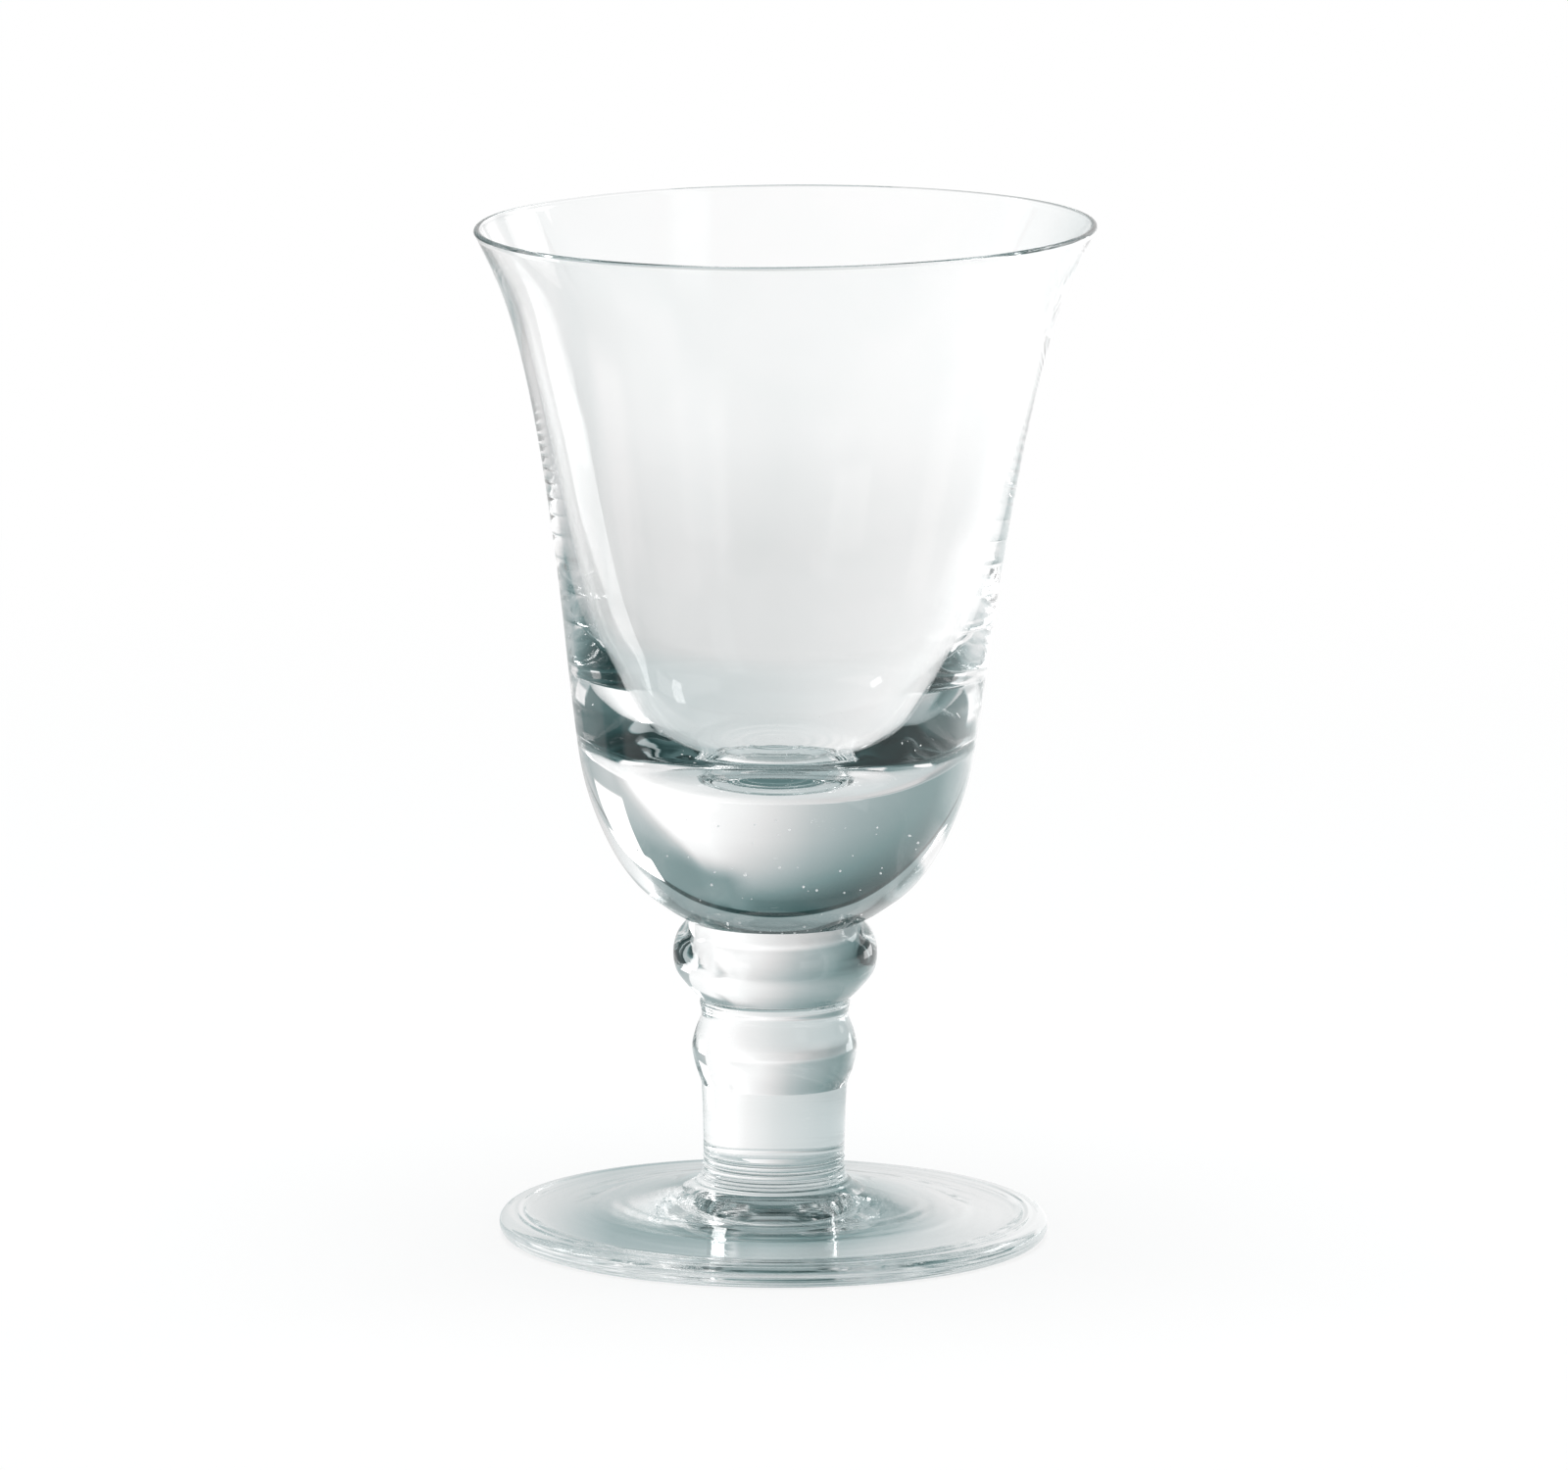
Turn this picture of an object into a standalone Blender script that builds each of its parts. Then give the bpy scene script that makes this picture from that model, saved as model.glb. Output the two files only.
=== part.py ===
"""Iced tea glass: a footed goblet of clear, hand-blown soda-lime glass.

Five gathers of glass are joined hot, one on the next: foot, stem shaft, lower knop, upper knop and
bowl. Each one is turned here from its own half outline, and a hair gap stands for the fused joint
between two of them. Metres, +Z up, with the origin at the centre of the foot's resting ring.
"""
import math

import bpy
from mathutils import Vector

# Driving dimensions, in millimetres
GLASS_HEIGHT = 178.0
RIM_RADIUS = 54.0
RIM_WALL = 1.2
FOOT_RADIUS = 48.0
FOOT_EDGE_THICKNESS = 4.0

# Heights of the four fused joints, and the radius of the fused disc in each
BOWL_JOINT_HEIGHT = 56.0
BOWL_JOINT_RADIUS = 15.2
KNOP_JOINT_HEIGHT = 42.0
KNOP_JOINT_RADIUS = 12.9
SHAFT_JOINT_HEIGHT = 27.0
SHAFT_JOINT_RADIUS = 12.7
FOOT_JOINT_HEIGHT = 8.2
FOOT_JOINT_RADIUS = 16.0
JOINT_GAP = 0.3

# Solid glass under the drink: the cavity's lowest point
CAVITY_FLOOR_HEIGHT = 80.9

# Widest rings of the two knops, and the shaft's waist
UPPER_KNOP_RADIUS = 17.8
UPPER_KNOP_HEIGHT = 50.4
LOWER_KNOP_RADIUS = 14.4
LOWER_KNOP_HEIGHT = 33.4
SHAFT_RADIUS = 12.4
SHAFT_FLARE_HEIGHT = 12.0

# Underside of the foot: a flat ring to rest on, around a shallow hollow
RESTING_RING_INNER_RADIUS = 40.0
FOOT_HOLLOW_DEPTH = 3.0

# How finely each outline is cut and turned
TURN_STEPS = 64
CURVE_STEPS = 2
LIP_STEPS = 4
EDGE_STEPS = 6

MILLIMETRE = 0.001
MERGE_DISTANCE = 0.00001
HALF_GAP = JOINT_GAP / 2
RIM_SHOULDER_HEIGHT = GLASS_HEIGHT - RIM_WALL / 2

# Each glass piece's colour and polish
GLASS_ROUGHNESS = 0.02
GLASS_IOR = 1.5
GLASS_COLOURS = {
    "bowl": (0.93, 0.96, 0.96),
    "upper_knop": (0.91, 0.95, 0.95),
    "lower_knop": (0.92, 0.95, 0.95),
    "stem_shaft": (0.93, 0.95, 0.95),
    "foot": (0.88, 0.93, 0.93),
}


def clear_scene():
    for old in list(bpy.data.objects):
        bpy.data.objects.remove(old, do_unlink=True)


def smooth_curve(stations, steps=CURVE_STEPS):
    """A Catmull-Rom curve through (radius, height) stations, both ends included."""
    points = [Vector(station) for station in stations]
    before_first = 2 * points[0] - points[1]
    after_last = 2 * points[-1] - points[-2]
    points = [before_first, *points, after_last]
    curve = []
    for a, b, c, d in zip(points, points[1:], points[2:], points[3:]):
        for step in range(steps):
            t = step / steps
            linear = (c - a) * t
            square = (2 * a - 5 * b + 4 * c - d) * t ** 2
            cube = (3 * b - a - 3 * c + d) * t ** 3
            curve.append(0.5 * (2 * b + linear + square + cube))
    curve.append(points[-2])
    return curve


def arc(centre, radius, start_degrees, end_degrees, steps):
    """Points on a round stretch of an outline, both ends included."""
    points = []
    for step in range(steps + 1):
        angle = math.radians(start_degrees + (end_degrees - start_degrees) * step / steps)
        points.append(Vector(centre) + radius * Vector((math.cos(angle), math.sin(angle))))
    return points


def on_axis(height):
    return [Vector((0.0, height))]


def clear_glass(name):
    material = bpy.data.materials.new(name + "_glass")
    material.use_nodes = True
    shader = material.node_tree.nodes["Principled BSDF"]
    shader.inputs["Base Color"].default_value = (*GLASS_COLOURS[name], 1.0)
    shader.inputs["Roughness"].default_value = GLASS_ROUGHNESS
    shader.inputs["Metallic"].default_value = 0.0
    shader.inputs["IOR"].default_value = GLASS_IOR
    shader.inputs["Transmission Weight"].default_value = 1.0
    return material


def turn(name, outline, parent):
    """Turn a half outline, from axis to axis and down its outer side, into a closed piece."""
    mesh = bpy.data.meshes.new(name)
    points = [(point.x * MILLIMETRE, 0.0, point.y * MILLIMETRE) for point in outline]
    edges = [(index, index + 1) for index in range(len(points) - 1)]
    mesh.from_pydata(points, edges, [])
    mesh.materials.append(clear_glass(name))
    piece = bpy.data.objects.new(name, mesh)
    bpy.context.scene.collection.objects.link(piece)
    piece.parent = parent
    screw = piece.modifiers.new("turned", "SCREW")
    screw.axis = "Z"
    screw.angle = math.tau
    screw.steps = TURN_STEPS
    screw.render_steps = TURN_STEPS
    screw.use_merge_vertices = True
    screw.merge_threshold = MERGE_DISTANCE
    screw.use_smooth_shade = True
    return piece


def bowl_outline():
    """A flared bowl whose wall thickens downwards into a heavy solid base."""
    lip_radius = RIM_WALL / 2
    lip_centre = (RIM_RADIUS - lip_radius, RIM_SHOULDER_HEIGHT)
    cavity = smooth_curve([
        (0.0, CAVITY_FLOOR_HEIGHT),
        (9.0, CAVITY_FLOOR_HEIGHT + 0.25),
        (16.0, CAVITY_FLOOR_HEIGHT + 1.75),
        (22.0, CAVITY_FLOOR_HEIGHT + 5.2),
        (26.9, 92.3),
        (32.1, 103.2),
        (35.7, 115.5),
        (38.7, 131.5),
        (42.2, 149.0),
        (46.6, 165.0),
        (RIM_RADIUS - RIM_WALL, RIM_SHOULDER_HEIGHT),
    ])
    lip = arc(lip_centre, lip_radius, 180, 0, LIP_STEPS)
    outer_wall = smooth_curve([
        (RIM_RADIUS, RIM_SHOULDER_HEIGHT),
        (48.7, 166.5),
        (44.5, 151.5),
        (41.1, 134.0),
        (38.1, 114.0),
        (35.6, 94.0),
        (33.4, 80.5),
        (29.4, 70.0),
        (24.6, 62.8),
        (19.2, 58.4),
        (BOWL_JOINT_RADIUS, BOWL_JOINT_HEIGHT + HALF_GAP),
    ])
    joint = on_axis(BOWL_JOINT_HEIGHT + HALF_GAP)
    return cavity + lip[1:-1] + outer_wall + joint


def upper_knop_outline():
    """A round knop, pinched into a narrow neck below."""
    side = smooth_curve([
        (BOWL_JOINT_RADIUS, BOWL_JOINT_HEIGHT - HALF_GAP),
        (17.1, 53.4),
        (UPPER_KNOP_RADIUS, UPPER_KNOP_HEIGHT),
        (17.3, 47.2),
        (15.3, 44.5),
        (KNOP_JOINT_RADIUS, KNOP_JOINT_HEIGHT + HALF_GAP),
    ])
    top = on_axis(BOWL_JOINT_HEIGHT - HALF_GAP)
    bottom = on_axis(KNOP_JOINT_HEIGHT + HALF_GAP)
    return top + side + bottom


def lower_knop_outline():
    """A slighter swelling of the stem below a short neck."""
    side = smooth_curve([
        (KNOP_JOINT_RADIUS, KNOP_JOINT_HEIGHT - HALF_GAP),
        (12.8, 39.2),
        (13.8, 36.4),
        (LOWER_KNOP_RADIUS, LOWER_KNOP_HEIGHT),
        (13.8, 30.2),
        (SHAFT_JOINT_RADIUS, SHAFT_JOINT_HEIGHT + HALF_GAP),
    ])
    top = on_axis(KNOP_JOINT_HEIGHT - HALF_GAP)
    bottom = on_axis(SHAFT_JOINT_HEIGHT + HALF_GAP)
    return top + side + bottom


def stem_shaft_outline():
    """A plain round shaft that flares where it sits on the foot."""
    side = smooth_curve([
        (SHAFT_JOINT_RADIUS, SHAFT_JOINT_HEIGHT - HALF_GAP),
        (SHAFT_RADIUS, 19.5),
        (SHAFT_RADIUS, SHAFT_FLARE_HEIGHT),
        (13.4, 9.8),
        (FOOT_JOINT_RADIUS, FOOT_JOINT_HEIGHT + HALF_GAP),
    ])
    top = on_axis(SHAFT_JOINT_HEIGHT - HALF_GAP)
    bottom = on_axis(FOOT_JOINT_HEIGHT + HALF_GAP)
    return top + side + bottom


def foot_outline():
    """A wide disc, thin at its rounded edge, rising to the stem."""
    edge_radius = FOOT_EDGE_THICKNESS / 2
    edge_centre = (FOOT_RADIUS - edge_radius, edge_radius)
    top = smooth_curve([
        (FOOT_JOINT_RADIUS, FOOT_JOINT_HEIGHT - HALF_GAP),
        (22.0, 6.9),
        (33.0, 5.4),
        (FOOT_RADIUS - edge_radius, FOOT_EDGE_THICKNESS),
    ])
    edge = arc(edge_centre, edge_radius, 90, -90, EDGE_STEPS)
    hollow = smooth_curve([
        (RESTING_RING_INNER_RADIUS, 0.0),
        (28.0, FOOT_HOLLOW_DEPTH * 0.55),
        (14.0, FOOT_HOLLOW_DEPTH * 0.9),
        (0.0, FOOT_HOLLOW_DEPTH),
    ])
    seat = on_axis(FOOT_JOINT_HEIGHT - HALF_GAP)
    return seat + top + edge[1:] + hollow


def build_glass():
    clear_scene()
    glass = bpy.data.objects.new("iced_tea_glass", None)
    bpy.context.scene.collection.objects.link(glass)
    outlines = {
        "bowl": bowl_outline,
        "upper_knop": upper_knop_outline,
        "lower_knop": lower_knop_outline,
        "stem_shaft": stem_shaft_outline,
        "foot": foot_outline,
    }
    for name, outline in outlines.items():
        turn(name, outline(), glass)


build_glass()
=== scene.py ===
"""Iced tea glass: the finished look of a footed goblet of clear, hand-blown glass.

Every gather of glass is turned from its half outline by one node tree, which also gives it the
waver of hand work. Two gathers meet in a fused joint, and light passes from one into the next as
through a single body of glass. Seed bubbles hang in the heavy base. Lengths are metres, with +Z up
and the origin under the middle of the foot. Outlines are written in millimetres.
"""
import math

import bpy
from bpy.props import FloatProperty, FloatVectorProperty, IntProperty, PointerProperty
from mathutils import Euler, Matrix, Vector


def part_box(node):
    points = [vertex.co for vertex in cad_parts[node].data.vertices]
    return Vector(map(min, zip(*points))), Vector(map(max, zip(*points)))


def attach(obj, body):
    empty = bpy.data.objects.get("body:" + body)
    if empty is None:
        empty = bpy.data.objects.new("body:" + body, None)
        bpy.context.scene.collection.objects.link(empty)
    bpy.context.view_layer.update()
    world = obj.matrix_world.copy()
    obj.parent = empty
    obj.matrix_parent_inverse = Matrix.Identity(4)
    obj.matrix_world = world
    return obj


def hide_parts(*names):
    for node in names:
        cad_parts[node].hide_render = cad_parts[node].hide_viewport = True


bl_info = {
    "name": "Iced tea glass",
    "version": (1, 0, 0),
    "blender": (4, 5, 0),
    "location": "3D View > Sidebar > Glass",
    "description": "Turns, finishes and lights a hand-blown iced tea glass",
    "category": "Object",
}

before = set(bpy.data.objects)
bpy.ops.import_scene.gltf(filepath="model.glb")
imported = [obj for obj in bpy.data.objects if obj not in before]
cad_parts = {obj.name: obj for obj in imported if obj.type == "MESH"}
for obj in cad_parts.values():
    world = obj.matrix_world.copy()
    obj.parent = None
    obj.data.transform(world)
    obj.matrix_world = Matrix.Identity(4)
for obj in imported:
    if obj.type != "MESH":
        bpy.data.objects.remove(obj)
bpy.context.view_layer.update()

BOWL_LOW, BOWL_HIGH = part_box("bowl")
UPPER_LOW, UPPER_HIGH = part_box("upper_knop")
LOWER_LOW, LOWER_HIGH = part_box("lower_knop")
SHAFT_LOW, SHAFT_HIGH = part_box("stem_shaft")
_, FOOT_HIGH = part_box("foot")

MILLIMETRE = 0.001
MICROMETRE = 0.000001
DEGREES = 180.0 / math.pi
WHITE = (1.0, 1.0, 1.0, 1.0)
BLACK = (0.0, 0.0, 0.0, 1.0)


class GlassSizes(bpy.types.PropertyGroup):
    """Main sizes of the glass."""

    rim_radius: FloatProperty(
        name="Rim radius", description="Outside of the lip", default=BOWL_HIGH.x, unit="LENGTH"
    )
    height: FloatProperty(
        name="Height", description="Table to rim", default=BOWL_HIGH.z, unit="LENGTH"
    )
    lip: FloatProperty(
        name="Lip", description="Thickness of the fire-polished lip", default=0.0012, unit="LENGTH"
    )
    cavity_floor: FloatProperty(
        name="Cavity floor", description="Height of the lowest point of the drink",
        default=0.0809, unit="LENGTH",
    )
    foot_radius: FloatProperty(
        name="Foot radius", description="Outside of the foot", default=FOOT_HIGH.x, unit="LENGTH"
    )
    foot_edge: FloatProperty(
        name="Foot edge", description="Thickness of the foot's rounded edge",
        default=0.004, unit="LENGTH",
    )
    foot_hollow: FloatProperty(
        name="Foot hollow", description="Rise of the hollow under the foot",
        default=0.003, unit="LENGTH",
    )
    turn_steps: IntProperty(
        name="Turn steps", description="Steps in a full turn", default=192, min=24
    )


class HandWork(bpy.types.PropertyGroup):
    """Traces that blowing and tooling by hand leave in the glass."""

    waver: FloatProperty(
        name="Waver", description="Unevenness of the walls, as a share of the radius",
        default=0.0006, subtype="FACTOR",
    )
    waver_size: FloatProperty(
        name="Waver size", description="Breadth of one swell in the walls",
        default=0.03, unit="LENGTH",
    )
    lean: FloatProperty(
        name="Lean", description="Tilt of the rim", default=math.radians(0.8), subtype="ANGLE"
    )
    lean_shift: FloatProperty(
        name="Lean shift", description="How far the rim sits off the axis",
        default=0.001, unit="LENGTH",
    )
    ring_depth: FloatProperty(
        name="Ring depth", description="Depth of the tool rings at the foot",
        default=0.00006, unit="LENGTH",
    )
    seeds: IntProperty(
        name="Seeds", description="Seed bubbles in the solid base", default=70, min=0
    )
    seed_diameter: FloatProperty(
        name="Seed diameter", description="Largest seed bubble", default=0.0004, unit="LENGTH"
    )


class GlassFinish(bpy.types.PropertyGroup):
    """Colour and polish of the glass."""

    pale: FloatVectorProperty(
        name="Pale", description="Colour where the glass is clearest",
        default=(1.0, 1.0, 1.0), size=3, subtype="COLOR",
    )
    deep: FloatVectorProperty(
        name="Deep", description="Colour where the melt is a little greener",
        default=(0.985, 0.99, 0.989), size=3, subtype="COLOR",
    )
    refraction: FloatProperty(
        name="Refraction", description="Index of refraction", default=1.5, min=1.0
    )
    ripple: FloatProperty(
        name="Ripple", description="Height of the fine turning lines",
        default=4 * MICROMETRE, unit="LENGTH", precision=6,
    )


class Studio(bpy.types.PropertyGroup):
    """Camera and light."""

    camera_place: FloatVectorProperty(
        name="Camera place", description="Where the camera stands",
        default=(0.0013, -2.394, 0.5), size=3, subtype="TRANSLATION",
    )
    camera_dip: FloatProperty(
        name="Camera dip", description="How far the camera looks down",
        default=math.radians(9.754), subtype="ANGLE",
    )
    camera_roll: FloatProperty(
        name="Camera roll", description="Turn of the camera about its own axis",
        default=math.radians(0.36), subtype="ANGLE",
    )
    lens: FloatProperty(
        name="Lens", description="Focal length on a 36 mm frame, in millimetres", default=320.4
    )
    lamp: FloatProperty(
        name="Lamp", description="Power of the soft lamp overhead", default=26.0, subtype="POWER"
    )


class Wire:
    """An output socket. Arithmetic on it adds Math nodes to its tree."""

    def __init__(self, net, socket):
        self.net = net
        self.socket = socket

    def side(self, name):
        """Another output of the same node."""
        return Wire(self.net, self.socket.node.outputs[name])

    def math(self, operation, *values):
        return self.net.node("ShaderNodeMath", {"operation": operation}, dict(enumerate(values)))

    def __add__(self, other):
        return self.math("ADD", self, other)

    __radd__ = __add__

    def __sub__(self, other):
        return self.math("SUBTRACT", self, other)

    def __rsub__(self, other):
        return self.math("SUBTRACT", other, self)

    def __mul__(self, other):
        return self.math("MULTIPLY", self, other)

    __rmul__ = __mul__

    def __truediv__(self, other):
        return self.math("DIVIDE", self, other)

    def __rtruediv__(self, other):
        return self.math("DIVIDE", other, self)

    def __pow__(self, other):
        return self.math("POWER", self, other)

    def __gt__(self, other):
        return self.math("GREATER_THAN", self, other)

    def floor(self):
        return self.math("FLOOR", self)

    def sine(self):
        return self.math("SINE", self)

    def cosine(self):
        return self.math("COSINE", self)

    def root(self):
        return self.math("SQRT", self)

    def least(self, other):
        return self.math("MINIMUM", self, other)

    def most(self, other):
        return self.math("MAXIMUM", self, other)

    def rise(self, low, high):
        """0 below low, 1 above high, and smooth between."""
        return self.net.node(
            "ShaderNodeMapRange",
            {"interpolation_type": "SMOOTHSTEP"},
            {"Value": self, "From Min": low, "From Max": high},
        )

    def between(self, low, high, soft):
        """1 between low and high, with soft edges."""
        return self.rise(low - soft, low + soft) * (1 - self.rise(high - soft, high + soft))

    def toward(self, other, share):
        """This value where share is 0, and other where it is 1."""
        values = {"Factor": share, "A": self, "B": other}
        return self.net.node("ShaderNodeMix", {"data_type": "FLOAT"}, values, "Result")


class Net:
    """A node tree that is being wired."""

    def __init__(self, tree):
        self.tree = tree

    def node(self, kind, settings=None, values=None, out=0):
        """Add a node: first its settings, then its sockets' values or links."""
        node = self.tree.nodes.new(kind)
        for name, value in (settings or {}).items():
            if name == "stops":
                self.fill_ramp(node, value)
            else:
                setattr(node, name, value)
        for key, value in (values or {}).items():
            socket = self.find(node.inputs, key)
            if isinstance(value, Wire):
                self.tree.links.new(value.socket, socket)
            else:
                socket.default_value = value
        return Wire(self, self.find(node.outputs, out)) if node.outputs else None

    @staticmethod
    def find(sockets, key):
        if isinstance(key, int):
            return sockets[key]
        return next(socket for socket in sockets if socket.name == key and socket.enabled)

    @staticmethod
    def fill_ramp(node, stops):
        elements = node.color_ramp.elements
        while len(elements) > 1:
            elements.remove(elements[-1])
        elements[0].position = stops[0][0]
        elements[0].color = (*stops[0][1], 1.0)
        for place, colour in stops[1:]:
            elements.new(place).color = (*colour, 1.0)

    def ramp(self, value, stops):
        return self.node("ShaderNodeValToRGB", {"stops": stops}, {0: value})

    def blend(self, share, first, second):
        """A colour: first where share is 0, second where it is 1."""
        colours = [c if isinstance(c, Wire) else (*c, 1.0) for c in (first, second)]
        return self.node(
            "ShaderNodeMix",
            {"data_type": "RGBA"},
            {"Factor": share, "A": colours[0], "B": colours[1]},
            "Result",
        )


def smooth_curve(stations, steps=8):
    """A Catmull-Rom curve through (radius, height) stations, both ends included."""
    points = [Vector(station) for station in stations]
    points = [2 * points[0] - points[1], *points, 2 * points[-1] - points[-2]]
    curve = []
    for a, b, c, d in zip(points, points[1:], points[2:], points[3:]):
        for step in range(steps):
            t = step / steps
            square = (2 * a - 5 * b + 4 * c - d) * t ** 2
            cube = (3 * b - a - 3 * c + d) * t ** 3
            curve.append(0.5 * (2 * b + (c - a) * t + square + cube))
    curve.append(points[-2])
    return curve


# Blowing eases the bowl's wall from this height in millimetres, and fully from EASED_OVER higher up
EASED_ABOVE = 108.0
EASED_OVER = 10.0
EASING_PASSES = 80


def eased(curve):
    """Ease the bends out of the upper stretch of the bowl's wall, as blowing does."""
    for _ in range(EASING_PASSES):
        middles = [(a + b) / 2 for a, b in zip(curve, curve[2:])]
        inner = []
        for here, middle in zip(curve[1:], middles):
            share = min(max((here.y - EASED_ABOVE) / EASED_OVER, 0.0), 1.0)
            inner.append(here.lerp(middle, share / 2))
        curve = [curve[0], *inner, curve[-1]]
    return curve


def arc(centre, radius, start, end, steps):
    """Points on a round stretch of an outline, angles in degrees, both ends included."""
    points = []
    for step in range(steps + 1):
        angle = math.radians(start + (end - start) * step / steps)
        points.append(Vector(centre) + radius * Vector((math.cos(angle), math.sin(angle))))
    return points


# Rings are placed along an outline by one of its two measures
BY_RADIUS, BY_HEIGHT = 0, 1

# A second, fainter set of rings at another pace makes the tool's rings uneven
SECOND_SHARE = 0.6
SECOND_PACE = 1.73
SECOND_START = 1.0


def tooled(curve, axis, first, last, rings, depth):
    """Press uneven rings into the stretch of an outline from first to last, fading at both ends."""
    pressed = [point.copy() for point in curve]
    for before, here, after, out in zip(curve, curve[1:], curve[2:], pressed[1:]):
        share = (here[axis] - first) / (last - first)
        if 0.0 < share < 1.0:
            along = (after - before).normalized()
            turns = math.tau * rings * share
            swell = math.sin(turns) + SECOND_SHARE * math.sin(SECOND_PACE * turns + SECOND_START)
            out += depth * swell * math.sin(math.pi * share) * Vector((-along.y, along.x))
    return pressed


def joint_height(below, above):
    """Height of a fused joint in millimetres, from the boxes of the solids that meet there."""
    return (below.z + above.z) / 2 / MILLIMETRE


# Heights and radii of the fused joints, and the hair of room between the two faces of each
BOWL_JOINT = joint_height(UPPER_HIGH, BOWL_LOW)
KNOP_JOINT = joint_height(LOWER_HIGH, UPPER_LOW)
SHAFT_JOINT = joint_height(SHAFT_HIGH, LOWER_LOW)
FOOT_JOINT = joint_height(FOOT_HIGH, SHAFT_LOW)
BOWL_JOINT_RADIUS = 15.2
KNOP_JOINT_RADIUS = 12.2
SHAFT_JOINT_RADIUS = 12.7
FOOT_JOINT_RADIUS = 16.0
FUSED_GAP = 0.0005

# How finely the outlines are cut: those of the bowl and the shaft, then the lip and the foot
FINE_STEPS = 16
LIP_STEPS = 8
FOOT_TOP_STEPS = 48
FOOT_EDGE_STEPS = 40


def bowl_outline(sizes, work):
    """The cavity from its floor up to the lip, then the outside down to the joint."""
    floor = sizes.cavity_floor / MILLIMETRE
    rim = sizes.rim_radius / MILLIMETRE
    lip_radius = sizes.lip / MILLIMETRE / 2
    shoulder = sizes.height / MILLIMETRE - lip_radius
    cavity = smooth_curve([
        (0.0, floor), (9.0, floor + 0.25), (16.0, floor + 1.75), (22.0, floor + 5.2),
        (26.9, 92.3), (31.5, 103.2), (35.0, 115.5), (38.5, 131.5), (42.2, 149.0), (46.6, 165.0),
        (rim - 2 * lip_radius, shoulder),
    ], FINE_STEPS)
    depth = work.ring_depth / MILLIMETRE
    cavity = tooled(eased(cavity), BY_RADIUS, 3.0, 13.0, rings=3.5, depth=depth * 0.8)
    lip = arc((rim - lip_radius, shoulder), lip_radius, 180, 0, LIP_STEPS)
    outside = smooth_curve([
        (rim, shoulder), (48.7, 166.5), (44.5, 151.5), (41.1, 134.0), (38.1, 114.0),
        (35.6, 94.0), (33.4, 80.5), (29.4, 70.0), (24.6, 62.8), (19.2, 58.4),
        (BOWL_JOINT_RADIUS, BOWL_JOINT),
    ], FINE_STEPS)
    return cavity + lip[1:-1], eased(outside)


def upper_knop_outline(sizes, work):
    """The round knop, pinched in below."""
    return [], smooth_curve([
        (BOWL_JOINT_RADIUS, BOWL_JOINT - FUSED_GAP), (17.1, 53.4), (17.8, 50.4), (17.3, 47.2),
        (15.3, 44.5), (13.4, 42.6), (KNOP_JOINT_RADIUS, KNOP_JOINT),
    ])


def lower_knop_outline(sizes, work):
    """The slighter swelling, under a short neck."""
    return [], smooth_curve([
        (KNOP_JOINT_RADIUS, KNOP_JOINT - FUSED_GAP), (13.1, 41.4), (12.8, 39.2), (13.8, 36.4),
        (14.4, 33.4), (13.8, 30.2), (SHAFT_JOINT_RADIUS, SHAFT_JOINT),
    ])


def shaft_outline(sizes, work):
    """The plain shaft, flared and ringed by the tool where it sits on the foot."""
    side = smooth_curve([
        (SHAFT_JOINT_RADIUS, SHAFT_JOINT - FUSED_GAP), (12.4, 19.5), (12.4, 12.0), (13.4, 9.8),
        (FOOT_JOINT_RADIUS, FOOT_JOINT),
    ], FINE_STEPS)
    depth = work.ring_depth / MILLIMETRE
    return [], tooled(side, BY_HEIGHT, 15.8, 8.4, rings=5.0, depth=depth * 1.8)


def foot_outline(sizes, work):
    """The top from the joint outwards, the rounded edge, and the hollow underside."""
    radius = sizes.foot_radius / MILLIMETRE
    edge = sizes.foot_edge / MILLIMETRE / 2
    hollow = sizes.foot_hollow / MILLIMETRE
    depth = work.ring_depth / MILLIMETRE
    top = smooth_curve([
        (FOOT_JOINT_RADIUS, FOOT_JOINT - FUSED_GAP), (22.0, 6.9), (33.0, 5.4),
        (radius - edge, 2 * edge),
    ], FOOT_TOP_STEPS)
    top = tooled(top, BY_RADIUS, 16.2, 21.0, rings=3.0, depth=depth * 0.12)
    top = tooled(top, BY_RADIUS, 21.5, radius - 8.0, rings=4.0, depth=depth * 0.18)
    top = tooled(top, BY_RADIUS, radius - 6.0, radius - edge - 0.1, rings=1.8, depth=depth * 1.6)
    rim = arc((radius - edge, edge), edge, 90, -90, FOOT_EDGE_STEPS)
    rim = tooled(rim, BY_HEIGHT, 2 * edge, 0.0, rings=4.0, depth=depth * 0.2)
    under = smooth_curve([
        (43.5, 0.0), (40.0, hollow * 0.07), (35.0, hollow * 0.25), (28.0, hollow * 0.55),
        (14.0, hollow * 0.9), (0.0, hollow),
    ])
    return [], top + rim[1:] + under


def new_tree(name, inputs):
    """A node tree with named inputs, whose output is the finished piece."""
    tree = bpy.data.node_groups.new(name, "GeometryNodeTree")
    for label, kind in inputs:
        tree.interface.new_socket(label, in_out="INPUT", socket_type="NodeSocket" + kind)
    tree.interface.new_socket("Piece", in_out="OUTPUT", socket_type="NodeSocketGeometry")
    return tree


# How far apart the waver of the inside and that of the outside are in the noise
INSIDE_APART = 7.0

# Points closer than this become one, and edges sharper than this stay sharp
MERGE_DISTANCE = 2 * MICROMETRE
CREASE_ANGLE = math.radians(35)

# A face lies in a fused joint where the mark on its corners comes to more than this
FUSED_MARK = 0.75


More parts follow.
